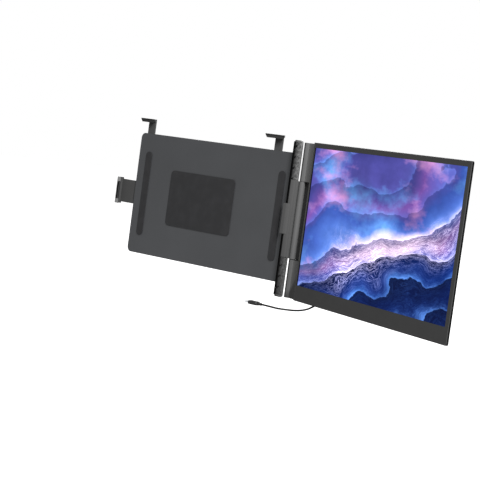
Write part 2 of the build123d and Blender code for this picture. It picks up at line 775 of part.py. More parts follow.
# Rear shell: tapered back, gutter behind the middle knuckle, housing with sockets, vents and buttons
with BuildPart() as rear_shell:
    add(shell_block)
    with BuildSketch(panel_level(knuckle_bottom - knuckle_gap)):
        outer = knuckle_radius + gutter_clearance + gutter_wall
        end = radians(gutter_end_angle)
        with BuildLine():
            Polyline(
                (bezel_left, shell_rear),
                (wing_shoulder, shell_rear),
                (0, outer),
                (outer * cos(end), outer * sin(end)),
                (0, 0),
                (bezel_left - 1, shell_front + 0.3),
                (bezel_left, shell_front + 0.3),
                close=True,
            )
        make_face()
    extrude(amount=gutter_length)
    with BuildSketch(panel_level(knuckle_bottom - knuckle_gap)):
        Circle(knuckle_radius + gutter_clearance)
        span(0, bezel_left - 1, -knuckle_radius, gutter_floor)
    extrude(amount=gutter_length, mode=Mode.SUBTRACT)
    with BuildSketch(panel_face(shell_rear - 0.5)):
        span(box_left, box_right, box_bottom, box_top)
    extrude(amount=-(box_depth + 0.5))
    chamfer(rear_shell.faces().sort_by(towards_user)[0].edges().sort_by(Axis.Z)[-1], box_chamfer, box_slope)
    chamfer(rear_shell.faces().sort_by(towards_user)[0].edges(), box_edge)
    add(shell_hollow, mode=Mode.SUBTRACT)
    with BuildSketch(panel_face(shell_inside - 0.5)):
        room_top = box_top - box_wall - box_chamfer
        span(box_left + box_wall, box_right - box_wall, box_bottom + box_wall, room_top)
    extrude(amount=-(box_inside - shell_inside + 0.5), mode=Mode.SUBTRACT)
    with BuildSketch(panel_section(box_left - 1)):
        for height in sockets.values():
            with Locations((socket_centre, height)):
                SlotOverall(usb_width + 2 * usb_cut_gap, usb_height + 2 * usb_cut_gap, rotation=90)
        with Locations((socket_centre, video_socket_height)):
            Rectangle(video_height + 2 * usb_cut_gap, video_width + 2 * usb_cut_gap)
    extrude(amount=box_wall + 2, mode=Mode.SUBTRACT)
    with BuildSketch(panel_section(box_right - box_wall - 1)):
        for height in button_heights:
            with Locations((button_centre, height)):
                SlotOverall(button_length + 2 * button_gap, button_width + 2 * button_gap, rotation=90)
    extrude(amount=box_wall + 2, mode=Mode.SUBTRACT)
    with BuildSketch(panel_face(box_inside - 1)):
        with Locations((vent_centre, vent_height - vent_length / 2)):
            with GridLocations(vent_pitch, 1, vent_count, 1):
                Rectangle(vent_width, vent_length)
        for left in speaker_lefts:
            with Locations((left + speaker_length / 2, speaker_bottom + speaker_height / 2)):
                with GridLocations(grille_pitch, 1, grille_count, 1):
                    Rectangle(grille_slot, grille_length)
    extrude(amount=-(box_wall + 2), mode=Mode.SUBTRACT)
    for leaf in leaves.values():
        add(leaf.part, mode=Mode.SUBTRACT)
    with BuildSketch(panel_face(board_rear)):
        with Locations(*board_posts):
            Circle(board_post_radius)
    extrude(amount=-(box_rear - board_rear - box_wall / 2))
    with BuildSketch(panel_level(button_board_low - rib_thickness)):
        rib_left = button_board_inner - rib_thickness
        span(rib_left, button_board_inner, button_board_front, box_inside + box_wall / 2)
    extrude(amount=button_board_height + 2 * rib_thickness)
    with BuildSketch(panel_level(button_board_low + rib_thickness)):
        span(button_board_inner - rib_thickness - 1, button_board_inner, button_board_front - 1, box_inside)
    extrude(amount=button_board_height - 2 * rib_thickness, mode=Mode.SUBTRACT)
save(rear_shell, "rear_shell")


def hinge_wing(side):
    """Moulded panel knuckle with its shoulder: round the shaft and leaf, over the bezel's left edge."""
    if side == "upper":
        low = knuckle_top + knuckle_gap
        high = panel_top - wing_end_inset
        inner_end = low
        outer_end = high
        outward = 1
    else:
        low = panel_bottom + wing_end_inset
        high = knuckle_bottom - knuckle_gap
        inner_end = high
        outer_end = low
        outward = -1
    with BuildPart() as wing:
        with BuildSketch(panel_level(low)) as profile:
            with BuildLine():
                Polyline(
                    (0, 0),
                    (0, knuckle_radius),
                    (wing_shoulder, shell_rear),
                    (bezel_left, shell_rear),
                    (bezel_left, panel_front),
                    (bezel_left + wing_overlap, panel_front),
                    (bezel_left + wing_overlap, wing_front),
                    (0, wing_front),
                    close=True,
                )
            make_face()
            Circle(knuckle_radius)
            waist = profile.vertices().sort_by_distance((knuckle_radius, wing_front, 0))[0]
            fillet(waist, wing_blend)
        extrude(amount=high - low)
        with BuildSketch(panel_level(inner_end)):
            Circle(ring_inner)
        extrude(amount=outward * (shaft_reach + knuckle_gap), mode=Mode.SUBTRACT)
        with BuildSketch(panel_level(outer_end)):
            Circle(cap_radius)
        extrude(amount=-outward * cap_length, mode=Mode.SUBTRACT)
        add(leaves[side].part, mode=Mode.SUBTRACT)
    with BuildPart() as cap:
        with BuildSketch(panel_level(outer_end)):
            Circle(cap_radius)
        extrude(amount=-outward * cap_length)
        chamfer(cap.edges().group_by(Axis.Z)[-1 if outward > 0 else 0], cap_edge)
    return wing, cap


for side in ("upper", "lower"):
    wing, cap = hinge_wing(side)
    save(wing, f"hinge_wing_{side}")
    save(cap, f"hinge_cap_{side}")


def layer(front, thickness, left, right, bottom, top):
    """Flat rectangular layer of the display stack."""
    with BuildPart() as sheet:
        with BuildSketch(panel_face(front + thickness)):
            span(left, right, bottom, top)
        extrude(amount=thickness)
    return sheet


# Display stack behind the bezel: glass, films, light guide with its lamp bar, tray
film_front = glass_front + glass_thickness
guide_front = film_front + film_thickness
tray_front = guide_front + guide_thickness
guide_bottom = display_bottom - guide_margin
led_bar_top = guide_bottom - led_bar_gap
led_bar_bottom = led_bar_top - led_bar_height
lit_left = display_left - guide_margin
lit_right = display_right + guide_margin
lit_top = display_top + guide_margin
lcd_glass = layer(glass_front, glass_thickness, display_left - glass_margin, display_right + glass_margin,
                  display_bottom - glass_margin, display_top + glass_margin)
optical_films = layer(film_front, film_thickness, lit_left, lit_right, guide_bottom, lit_top)
light_guide = layer(guide_front, guide_thickness, lit_left, lit_right, guide_bottom, lit_top)
led_bar = layer(guide_front, guide_thickness, display_left, display_right, led_bar_bottom, led_bar_top)
backlight_tray = layer(tray_front, tray_thickness, lit_left, lit_right, led_bar_bottom, lit_top)
save(lcd_glass, "lcd_glass")
save(optical_films, "optical_films")
save(light_guide, "light_guide")
save(led_bar, "led_bar")
save(backlight_tray, "backlight_tray")

# Driver board: an L that carries the sockets, the chips and the power parts
board_edge = box_left + box_wall + board_gap
board_low = box_bottom + box_wall + board_gap
with BuildPart() as driver_board:
    with BuildSketch(panel_face(board_rear)):
        span(board_edge, board_edge + board_strip_width, board_low, board_top)
        span(board_edge, board_right, board_bottom, board_top)
    extrude(amount=board_thickness)
    for along, height, width, tall, thick in board_parts:
        with BuildSketch(panel_face(board_rear)):
            with Locations((along, height)):
                Rectangle(width, tall)
        extrude(amount=-thick)
save(driver_board, "driver_board")

with BuildPart() as display_ribbon:
    ribbon_front = glass_front + glass_thickness / 2
    ribbon_low = display_bottom - glass_margin - ribbon_drop
    with BuildSketch(panel_section(ribbon_centre - ribbon_width / 2)):
        span(ribbon_front, ribbon_front + ribbon_thickness, ribbon_low, display_bottom - glass_margin)
        span(ribbon_front, board_front, ribbon_low, ribbon_low + ribbon_thickness)
        span(board_front - ribbon_thickness, board_front, ribbon_low, board_bottom + ribbon_lap)
    extrude(amount=ribbon_width)
save(display_ribbon, "display_ribbon")


def usb_socket(height):
    """Receptacle shell with its contact blade, mouth towards the hinge."""
    mouth = box_left + socket_recess
    with BuildPart() as socket:
        with BuildSketch(panel_section(mouth)):
            with Locations((socket_centre, height)):
                SlotOverall(usb_width, usb_height, rotation=90)
        extrude(amount=usb_length)
        with BuildSketch(panel_section(mouth)):
            with Locations((socket_centre, height)):
                SlotOverall(usb_width - 2 * usb_wall, usb_height - 2 * usb_wall, rotation=90)
        extrude(amount=usb_length - usb_back, mode=Mode.SUBTRACT)
        with BuildSketch(panel_section(mouth + usb_length)):
            with Locations((socket_centre, height)):
                Rectangle(blade_thickness, blade_width)
        extrude(amount=-(usb_back + blade_length))
    return socket


for name, height in sockets.items():
    save(usb_socket(height), name)

with BuildPart() as mini_video_socket:
    video_centre = board_rear + video_height / 2
    with BuildSketch(panel_section(box_left + socket_recess)) as video_outline:
        with Locations((video_centre, video_socket_height)):
            Rectangle(video_height, video_width)
        chamfer(video_outline.vertices().group_by(Axis.X)[-1], video_height * 0.3)
    extrude(amount=usb_length)
    with BuildSketch(panel_section(box_left + socket_recess)) as video_hollow:
        with Locations((video_centre, video_socket_height)):
            Rectangle(video_height - 2 * usb_wall, video_width - 2 * usb_wall)
        chamfer(video_hollow.vertices().group_by(Axis.X)[-1], video_height * 0.3 - usb_wall / 2)
    extrude(amount=usb_length - usb_back, mode=Mode.SUBTRACT)
    with BuildSketch(panel_section(box_left + socket_recess + usb_length)):
        with Locations((video_centre, video_socket_height)):
            Rectangle(blade_thickness, video_width * 0.7)
    extrude(amount=-(usb_back + blade_length))
save(mini_video_socket, "mini_video_socket")


def speaker(left):
    """Flat speaker box with a raised membrane, seated on the housing's rear wall."""
    with BuildPart() as box:
        with BuildSketch(panel_face(box_inside)):
            span(left, left + speaker_length, speaker_bottom, speaker_bottom + speaker_height)
        extrude(amount=speaker_thickness - speaker_dome)
        with BuildSketch(panel_face(box_inside - speaker_thickness + speaker_dome)):
            with Locations((left + speaker_length / 2, speaker_bottom + speaker_height / 2)):
                SlotOverall(speaker_length * 0.8, speaker_height * 0.7)
        extrude(amount=speaker_dome)
    return box


for side, left in zip(("left", "right"), speaker_lefts):
    save(speaker(left), f"speaker_{side}")

# Small board with the switches that the three buttons press
with BuildPart() as button_board:
    with BuildSketch(panel_section(button_board_inner)):
        span(button_board_front, box_inside, button_board_low, button_board_low + button_board_height)
    extrude(amount=button_board_thickness)
    with BuildSketch(panel_section(button_board_inner + button_board_thickness)):
        with Locations(*[(button_centre, height) for height in button_heights]):
            Rectangle(switch_size, switch_size)
    extrude(amount=switch_height)
save(button_board, "button_board")


def button(height):
    """Push button with a flange that keeps it behind the housing's end wall."""
    with BuildPart() as cap:
        with BuildSketch(panel_section(box_right - box_wall - button_flange_thickness)):
            with Locations((button_centre, height)):
                flange_length = button_length + 2 * button_flange
                SlotOverall(flange_length, button_width + 2 * button_flange, rotation=90)
        extrude(amount=button_flange_thickness)
        with BuildSketch(panel_section(box_right - box_wall)):
            with Locations((button_centre, height)):
                SlotOverall(button_length, button_width, rotation=90)
        extrude(amount=box_wall + button_proud)
    return cap


for name, height in zip(("down_button", "up_button", "power_button"), button_heights):
    save(button(height), name)


def plug(socket_point, outwards, wide):
    """Cable plug: its moulded grip from the socket outwards and its metal shell inside the socket."""
    base = Plane(origin=socket_point, x_dir=wide, z_dir=outwards)
    with BuildPart() as grip:
        with BuildSketch(base):
            RectangleRounded(grip_width, grip_thickness, grip_corner)
        extrude(amount=grip_length)
        chamfer(grip.faces().sort_by(Axis(socket_point, outwards))[-1].edges(), grip_edge)
        with BuildSketch(base.offset(grip_length)):
            Circle(boot_radius)
        extrude(amount=boot_length)
    with BuildPart() as shell:
        with BuildSketch(base):
            SlotOverall(plug_shell_width, plug_shell_height)
        extrude(amount=-plug_shell_length)
        with BuildSketch(base.offset(-plug_shell_length)):
            Rectangle(plug_slot_width, plug_slot_height)
        extrude(amount=plug_slot_depth, mode=Mode.SUBTRACT)
    return grip, shell, base.from_local_coords((0, 0, grip_length + boot_length))


panel_plug_face = panel_point(box_left - plug_stand_off, socket_centre, display_socket_height)
panel_plug = plug(panel_plug_face, -panel_along, up)
far_plug = plug((far_plug_x, far_plug_y, far_plug_z), Vector(1, 0, 0), Vector(0, 1, 0))
save(panel_plug[0], "panel_plug_grip")
save(panel_plug[1], "panel_plug_shell")
save(far_plug[0], "far_plug_grip")
save(far_plug[1], "far_plug_shell")

# Cable: out of the panel plug, down behind the panel, under it and forward to the far plug
cable_points = [
    panel_plug[2],
    panel_plug[2] - panel_along * cable_exit_run,
    Vector(260.1, -15.6, -109.2),
    Vector(246.3, -28.2, -121.9),
    Vector(222.3, -51.1, -123.1),
    far_plug[2] + Vector(cable_end_run, 0, 0),
    far_plug[2],
]
cable_bends = []
for before, corner, after in zip(cable_points, cable_points[1:], cable_points[2:]):
    run_in = corner - before
    run_out = after - corner
    half_turn = radians(run_in.get_angle(run_out)) / 2
    cable_bends.append(bend_share * min(run_in.length, run_out.length) / tan(half_turn))
with BuildPart() as cable:
    with BuildLine() as cable_route:
        FilletPolyline(*cable_points, radius=cable_bends)
    with BuildSketch(Plane(origin=cable_points[0], z_dir=cable_points[1] - cable_points[0])):
        Circle(cable_diameter / 2)
    sweep(path=cable_route.line)
save(cable, "cable")
print("cable bend radii", [round(bend, 1) for bend in cable_bends], "least allowed", 5 * cable_diameter)
route_length = sum(edge.length for edge in cable_route.edges())
tube_share = cable.part.volume / (pi * (cable_diameter / 2) ** 2 * route_length)
print("cable length", round(route_length, 1), "volume over section times length", round(tube_share, 4))
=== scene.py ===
import json
from math import cos, pi, radians, sin

import bmesh
import bpy
from mathutils import Matrix, Vector


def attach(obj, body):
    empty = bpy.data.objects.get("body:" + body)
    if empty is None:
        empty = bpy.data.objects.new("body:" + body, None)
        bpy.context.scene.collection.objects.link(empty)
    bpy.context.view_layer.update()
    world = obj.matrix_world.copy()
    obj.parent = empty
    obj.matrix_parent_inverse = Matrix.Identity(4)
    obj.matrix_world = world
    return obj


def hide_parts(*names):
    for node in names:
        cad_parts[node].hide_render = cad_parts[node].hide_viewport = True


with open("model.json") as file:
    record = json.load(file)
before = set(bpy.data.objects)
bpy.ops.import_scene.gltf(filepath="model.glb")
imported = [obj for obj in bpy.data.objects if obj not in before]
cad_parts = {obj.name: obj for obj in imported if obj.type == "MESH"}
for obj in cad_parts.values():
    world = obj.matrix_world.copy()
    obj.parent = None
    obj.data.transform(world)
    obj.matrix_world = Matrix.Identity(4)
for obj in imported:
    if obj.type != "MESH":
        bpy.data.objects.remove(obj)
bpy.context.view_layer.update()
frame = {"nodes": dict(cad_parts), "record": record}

nodes = frame["nodes"]
mm = 0.001

# The hinge axis and the panel's turn at rest, as in the part's source
hinge = next(j for j in frame["record"]["behaviour"]["joints"] if j["name"] == "panel_hinge")
axis_point = Vector(hinge["pos_m"])
rest_turn = radians(-19.55)
panel_along = Vector((cos(rest_turn), sin(rest_turn), 0))
panel_behind = Vector((-sin(rest_turn), cos(rest_turn), 0))
down = Vector((0, 0, -1))

# Display opening and the rear faces of the shell and its housing, mm in the panel's own frame
display_left, display_right = 18.4, 362.6
display_bottom = -90.1
shell_rear, box_rear = 8.8, 16.0
# Rear face of the bracket's cover, mm
cover_rear = 11.6


def on_panel(along, behind, height):
    """Point of the panel's own frame, mm, in the row frame, metres."""
    return axis_point + (panel_along * along + panel_behind * behind + Vector((0, 0, height))) * mm


# Side that the daylight comes from, degrees from +X towards +Y
window_azimuth = -35
window_side = Vector((cos(radians(window_azimuth)), sin(radians(window_azimuth)), 0))

# Half widths of the soft edges between marked areas, metres
thin_blur, blur, wide_blur, lift_blur = 0.0002, 0.0003, 0.0004, 0.0005

# Cosines at which the painted shade on a turned face starts and is full: for faces that turn from the
# display's side, from the window's side, downwards, and outwards along the panel
display_turn = (0.6, 0.3)
window_turn = (0.15, -0.3)
down_turn = (0.4, 0.65)
outward_turn = (0.5, 0.8)

# Wings, metres: width from the hinge axis, and where along it the outer side starts
wing_width = 0.016
wing_side = 0.012
# Painted shadow: the lower wing is black below its foot's edge and above the joint's edge
foot_edge = -0.1094
joint_edge = -0.0566
# The painted shade at its foot: height at the axis, slope along the wing, and how far it fades above and
# below
foot_shade, foot_shade_slope = -0.1065, 1.5
foot_fade = (0.003, -0.005)
# Painted highlight and shade across a wing, as shares of its width and of its brightness
wing_painted_shading = ((0.0, 0.1), (0.06, 0.18), (0.14, 0.6), (0.24, 0.42), (0.33, 0.7), (0.45, 0.88), (0.6, 0.66),
              (1.0, 0.44))

# Lips that hold the lid lie in front of this depth, metres
lip_limit = -0.0079
# The hooks' lips: lowest height, where their upper painted shadow starts and is full, and where the rim
# starts
hook_low, hook_shadow = 0.1, 0.1129
hook_shadow_full, hook_rim = hook_shadow + 0.0008, hook_shadow + 0.0014
# Painted shade: the left hook darkens over this span
left_hook_span = (-0.1062, -0.0768)
# The left jaw: right end, height of its middle, where its pale tabs of painted light start from there, and
# left end of its strip of painted shadow
jaw_limit = -0.16
jaw_middle = -0.0008
jaw_tab_start = 0.0134
jaw_strip_start = -0.1701

# The hinge column, metres: left side and width of its front plate, and the plate's front
column_left, column_width = 0.1734, 0.013
column_front = -0.0073
# Depths between which a face belongs to the plate's front
column_front_limit, clip_front_limit = -0.0068, -0.0079
# Heights and width over which the column's painted shade and highlight change, and the width of the painted
# shade beside the lid
column_reach = 0.11
column_shading_width = 0.028
lid_shade_width = 0.0065
# Painted shade and highlight across the column, as shares of that width and of its brightness
column_painted_shading = ((0.0, 0.5), (0.25, 0.62), (0.6, 0.98), (0.73, 0.78), (1.0, 0.62))
# Painted light: the upper part of the column is paler by this factor
upper_painted_light = 1.35
# Painted shadow: black strip along the lid
lid_shadow_width = 0.0021

# Ribbed grips on the column's front, metres: heights above and below the middle knuckle, and sides
grip_start, grip_end = 0.055, 0.1085
lid_shadow_gap, grip_margin = 0.0001, 0.0008
grip_left = column_left + lid_shadow_width + lid_shadow_gap
grip_right = column_left + column_width - grip_margin
# The ribs: rise per length, pitch, half widths at base and top, height, sunk base, and run of a sloped end
rib_rise = 0.7
rib_pitch = 0.00155
rib_base, rib_top = 0.0006, 0.00042
rib_height = 0.0003
rib_sunk = 0.00005
rib_slope = 0.0002
shortest_rib = 6 * rib_slope
# The notches cut the ribs' left ends; one notch is at this place
notch_across, notch_height = 0.1784, 0.0571
notch_offset = notch_height - rib_rise * notch_across
notch_pitch = 0.0155
notch_half = 0.0017
notch_length = 0.005

# Node helpers


class Graph:
    """Small helper that builds a material's node tree."""

    def __init__(self, name):
        self.material = bpy.data.materials.new(name)
        self.material.use_nodes = True
        self.tree = self.material.node_tree
        self.shader = self.tree.nodes["Principled BSDF"]
        spots = self.tree.nodes.new("ShaderNodeTexCoord").outputs
        self.coordinates, self.facing = spots["Object"], spots["Normal"]

    def feed(self, socket, value):
        """Links an output to the socket, or sets its value."""
        if isinstance(value, bpy.types.NodeSocket):
            self.tree.links.new(value, socket)
        else:
            socket.default_value = value

    def node(self, kind, **inputs):
        """New node; names in lower case are its settings, the others its sockets."""
        made = self.tree.nodes.new(kind)
        for key, value in inputs.items():
            if key[0].islower():
                setattr(made, key, value)
        for key, value in inputs.items():
            if not key[0].islower():
                self.feed(made.inputs[key.replace("_", " ")], value)
        return made

    def axes(self, vector=None):
        """X, Y and Z of a vector, or else of the object coordinates."""
        return self.node("ShaderNodeSeparateXYZ", Vector=vector or self.coordinates).outputs

    def math(self, operation, first, second=0.0):
        made = self.node("ShaderNodeMath", operation=operation)
        self.feed(made.inputs[0], first)
        self.feed(made.inputs[1], second)
        return made.outputs["Value"]

    def vector_math(self, operation, first, second):
        made = self.node("ShaderNodeVectorMath", operation=operation)
        self.feed(made.inputs[0], first)
        self.feed(made.inputs[1], second)
        return made.outputs["Value" if operation == "DOT_PRODUCT" else "Vector"]

    def times(self, first, second):
        return self.math("MULTIPLY", first, second)

    def plus(self, first, second):
        return self.math("ADD", first, second)

    def minus(self, first, second):
        return self.math("SUBTRACT", first, second)

    def most(self, first, second):
        return self.math("MAXIMUM", first, second)

    def below(self, value, limit):
        return self.math("LESS_THAN", value, limit)

    def above(self, value, limit):
        return self.math("GREATER_THAN", value, limit)

    def apart(self, first, second):
        """Distance between two values."""
        return self.math("ABSOLUTE", self.minus(first, second))

    def ramp(self, value, low, high, start=0.0, end=1.0):
        """The start value at the low limit, the end value at the high one, and level beyond them."""
        made = self.node("ShaderNodeMapRange", Value=value, From_Min=low, From_Max=high, To_Min=start,
                         To_Max=end)
        return made.outputs["Result"]

    def rising(self, value, edge, half, start=0.0, end=1.0):
        """Soft step at an edge, from the start value below it to the end value above it."""
        return self.ramp(value, edge - half, edge + half, start, end)

    def falling(self, value, edge, half):
        """Soft step at an edge, 1 below it and 0 above it."""
        return self.ramp(value, edge + half, edge - half)

    def mix(self, share, first, second, blend="MIX"):
        """The first colour at share 0, the second one, or its blend with the first, at share 1."""
        made = self.node("ShaderNodeMix", data_type="RGBA", blend_type=blend, Factor=share, A=first, B=second)
        return made.outputs["Result"]

    def noise(self, scale, detail=3.0, roughness=0.55, vector=None, distortion=0.0):
        made = self.node("ShaderNodeTexNoise", Vector=vector or self.coordinates, Scale=scale, Detail=detail,
                         Roughness=roughness, Distortion=distortion)
        return made.outputs["Fac"]

    def colours(self, value, stops):
        """Colour at a value from 0 to 1, between stops of a place and a colour."""
        made = self.node("ShaderNodeValToRGB", Fac=value)
        elements = made.color_ramp.elements
        while len(elements) < len(stops):
            elements.new(0.5)
        for element, (place, colour) in zip(elements, stops):
            element.position = place
            element.color = colour
        return made.outputs["Color"]

    def tones(self, value, stops):
        return self.colours(value, [(place, grey(tone)) for place, tone in stops])

    def turned(self, place, scale=(1, 1, 1)):
        """Object coordinates about a place, turned about Z so that X runs along the panel."""
        moved = self.vector_math("SUBTRACT", self.coordinates, place)
        made = self.node("ShaderNodeMapping", Vector=moved, Rotation=(0, 0, -rest_turn), Scale=scale)
        return made.outputs["Vector"]

    def towards(self, direction):
        """How far the face looks in a direction, -1 to 1, in the row frame at rest."""
        return self.vector_math("DOT_PRODUCT", self.facing, direction)

    def bump(self, height, strength, distance, normal=None):
        made = self.node("ShaderNodeBump", Height=height, Strength=strength, Distance=distance)
        if normal is not None:
            self.feed(made.inputs["Normal"], normal)
        return made.outputs["Normal"]

    def finish(self, colour=None, rough=None, normal=None, **values):
        """Feeds the shader and gives the material; other sockets go by name, with _ for a space."""
        for name, value in (("Base Color", colour), ("Roughness", rough), ("Normal", normal)):
            if value is not None:
                self.feed(self.shader.inputs[name], value)
        for name, value in values.items():
            self.shader.inputs[name.replace("_", " ")].default_value = value
        return self.material


def shade(colour, factor):
    """The colour made lighter or darker."""
    return tuple(min(1.0, c * factor) for c in colour[:3]) + (1.0,)


def grey(value):
    """Neutral colour of a brightness from 0 to 1, in linear light."""
    return (value, value, value, 1.0)


# Blacks of painted shadow and painted shade
painted_shadow_black = grey(0.0006)
painted_shade_black = grey(0.0004)


def edge_wear(graph, width, share):
    """Mask of edges, from the difference between the bevelled and the true normal."""
    soft = graph.node("ShaderNodeBevel", samples=4, Radius=width).outputs["Normal"]
    true = graph.node("ShaderNodeNewGeometry").outputs["Normal"]
    edge = graph.ramp(graph.vector_math("DOT_PRODUCT", soft, true), 0.995, 0.86)
    patchy = graph.ramp(graph.noise(90, 4), 0.35, 0.65, 0.35, 1.0)
    return graph.times(graph.times(edge, patchy), share), soft


def plastic(name, colour, rough=0.5, grain=2600, depth=0.00003, wear=0.35, round_edge=0.00035, spread=0.09,
            sheen=0.22, smear=0.065, dress=None):
    """Moulded plastic: fine grain, slow colour and gloss variation, lighter worn edges."""
    graph = Graph(name)
    cloud = graph.noise(14, 3)
    fine = graph.noise(grain, 2, 0.6)
    body = graph.mix(graph.ramp(cloud, 0.3, 0.7), shade(colour, 1 - spread), shade(colour, 1 + spread))
    speck = graph.mix(graph.ramp(fine, 0.42, 0.62, 0.0, 0.22), body, shade(colour, 1.35))
    mask, soft = edge_wear(graph, round_edge, wear)
    worn = graph.mix(mask, speck, shade(colour, 1.7))
    smears = graph.noise(36, 4, 0.62)
    gloss = graph.plus(graph.ramp(smears, 0.3, 0.72, rough - smear, rough + smear),
                       graph.ramp(fine, 0.3, 0.7, -0.03, 0.03))
    normal = graph.bump(fine, 0.35, depth, soft)
    if dress is not None:
        worn, gloss, normal = dress(graph, worn, gloss, normal)
    return graph.finish(worn, gloss, normal, Specular_IOR_Level=sheen)


def painted_side_shade(graph, colour, gloss, normal):
    """Painted shade: faces that look down or don't look along the display are nearly black and quite matt;
    painted light makes the bezel paler left of the display.
    """
    along = graph.axes(graph.turned(axis_point))["X"]
    # Painted light: the bezel is paler left of the display, beside the wing
    colour = graph.mix(graph.falling(along, display_left * mm, thin_blur), colour, grey(0.022))
    # Painted shade: faces that look down or turn from the display are nearly black
    side = graph.most(graph.ramp(graph.towards(-panel_behind), *display_turn),
                      graph.ramp(graph.towards(down), *down_turn))
    return graph.mix(side, colour, painted_shade_black), graph.most(gloss, side), normal


def painted_window_shade(graph, colour, height):
    """Painted shade: darker towards the foot and on faces that turn from the window side."""
    level = graph.ramp(height, -column_reach, column_reach, 0.36, 0.0)
    turned_off = graph.ramp(graph.towards(window_side), *window_turn, 0.0, 0.55)
    darker = graph.mix(level, colour, grey(0.008))
    return graph.mix(turned_off, darker, grey(0.005))


def painted_column_light(graph, colour, across, height):
    """Painted light and shade: the column is paler towards its knuckle and at its upper end, and darker
    towards the foot.
    """
    colour = painted_window_shade(graph, colour, height)
    tone = graph.tones(graph.ramp(across, column_left, column_left + column_shading_width), column_painted_shading)
    colour = graph.mix(1.0, colour, tone, "MULTIPLY")
    return graph.mix(1.0, colour, graph.rising(height, grip_start, lift_blur, 1.0, upper_painted_light), "MULTIPLY")


def column_painted_shadows(graph, colour, gloss, normal):
    """Painted shadows: the front carries a black strip along the lid and is dark between the grips' ribs."""
    across, depth, height = graph.axes()
    colour = painted_column_light(graph, colour, across, height)
    front = graph.times(graph.below(depth, column_front_limit), graph.above(depth, clip_front_limit))
    off_middle = graph.apart(height, 0.0)
    grips = graph.times(graph.rising(off_middle, grip_start, blur), graph.falling(off_middle, grip_end, blur))
    zone = graph.times(grips, graph.times(front, graph.falling(across, grip_right + thin_blur, thin_blur)))
    lid_shadow = graph.times(graph.falling(across, column_left + lid_shadow_width - thin_blur, thin_blur), front)
    dark = graph.most(zone, lid_shadow)
    return graph.mix(dark, colour, painted_shadow_black), graph.most(gloss, dark), normal


def shaded_worn_ribs(graph, colour, gloss, normal):
    """Ribs of the grips: painted shade beside the lid and the column's painted light and shade, with darker,
    rubbed patches.
    """
    across, _, height = graph.axes()
    colour = painted_column_light(graph, colour, across, height)
    shadow = graph.ramp(across, grip_left, grip_left + lid_shade_width, 0.85, 0.0)
    mottle = graph.ramp(graph.noise(260, 4), 0.42, 0.6, 0.0, 0.65)
    darker = graph.mix(shadow, colour, grey(0.011))
    return graph.mix(mottle, darker, grey(0.012)), gloss, normal


def lips_with_painted_shade(graph, colour, gloss, normal):
    """Painted shade on the lips: dark bands on the hooks, darkest at the left one's right end, and a black
    strip on the jaw; its tabs are painted pale as light.
    """
    across, depth, height = graph.axes()
    lip = graph.below(depth, lip_limit)
    hooks = graph.times(graph.above(height, hook_low), lip)
    top = graph.times(graph.ramp(height, hook_shadow, hook_shadow_full), hooks)
    left_hook = graph.times(graph.below(across, 0.0), graph.ramp(height, hook_rim, hook_shadow_full))
    right_end = graph.times(left_hook, graph.ramp(across, *left_hook_span, 0.6, 1.0))
    band = graph.times(graph.most(0.45, right_end), hooks)
    jaw = graph.times(graph.below(across, jaw_limit), lip)
    off_middle = graph.apart(height, jaw_middle)
    tab = graph.times(graph.rising(off_middle, jaw_tab_start, wide_blur), jaw)
    between_tabs = graph.times(graph.below(off_middle, jaw_tab_start), jaw)
    strip = graph.times(graph.rising(across, jaw_strip_start, blur), between_tabs)
    marked = graph.mix(tab, colour, grey(0.07))
    black = graph.most(graph.most(graph.times(top, 0.8), band), strip)
    return graph.mix(black, marked, painted_shadow_black), graph.most(gloss, black), normal


def painted_wing_shading(graph, colour, gloss, normal):
    """Painted light and shade: the flat darkens away from the knuckle and at the lower wing's foot; the outer
    side, the foot and the joint are black as painted shadow.
    """
    along, _, height = graph.axes(graph.turned(axis_point))
    colour = painted_window_shade(graph, colour, height)
    tone = graph.tones(graph.ramp(along, 0.0, wing_width), wing_painted_shading)
    darker = graph.mix(1.0, colour, tone, "MULTIPLY")
    over_foot = graph.minus(graph.minus(height, graph.times(along, foot_shade_slope)), foot_shade)
    darker = graph.mix(graph.ramp(over_foot, *foot_fade, 0.0, 0.8), darker, grey(0.007))
    outwards = graph.ramp(graph.towards(panel_along), *outward_turn, 0.0, 0.6)
    side = graph.times(outwards, graph.above(along, wing_side))
    foot = graph.falling(height, foot_edge, blur)
    joint = graph.times(graph.rising(height, joint_edge, thin_blur), graph.below(height, 0.0))
    black = graph.most(graph.most(side, foot), joint)
    return graph.mix(black, darker, painted_shade_black), graph.most(gloss, black), normal


def rubber(name, colour, rough=0.75, grain=1500, sheen=0.12):
    """Silicone or foam: matt, slightly dusty, with fine pores."""
    graph = Graph(name)
    pores = graph.node("ShaderNodeTexVoronoi", Scale=grain).outputs["Distance"]
    dust = graph.noise(60, 5, 0.65)
    body = graph.mix(graph.ramp(dust, 0.45, 0.75, 0.0, 0.5), shade(colour, 0.9), shade(colour, 1.7))
    gloss = graph.ramp(dust, 0.3, 0.7, rough - 0.06, rough + 0.1)
    return graph.finish(body, gloss, graph.bump(pores, 0.3, 0.00004), Specular_IOR_Level=sheen)


def metal(name, colour, rough=0.35, stretch=(1, 1, 40), scale=300):
    """Brushed or turned metal with fine lines along one direction."""
    graph = Graph(name)
    lines = graph.node("ShaderNodeMapping", Vector=graph.coordinates, Scale=stretch)
    brushed = graph.noise(scale, 3, 0.6, lines.outputs["Vector"])
    tint = graph.mix(graph.ramp(brushed, 0.3, 0.7), shade(colour, 0.88), shade(colour, 1.1))
    stain = graph.noise(40, 4)
    gloss = graph.plus(graph.ramp(brushed, 0.3, 0.7, rough - 0.07, rough + 0.07),
                       graph.ramp(stain, 0.4, 0.7, 0.0, 0.08))
    return graph.finish(tint, gloss, graph.bump(brushed, 0.12, 0.00002), Metallic=1.0)


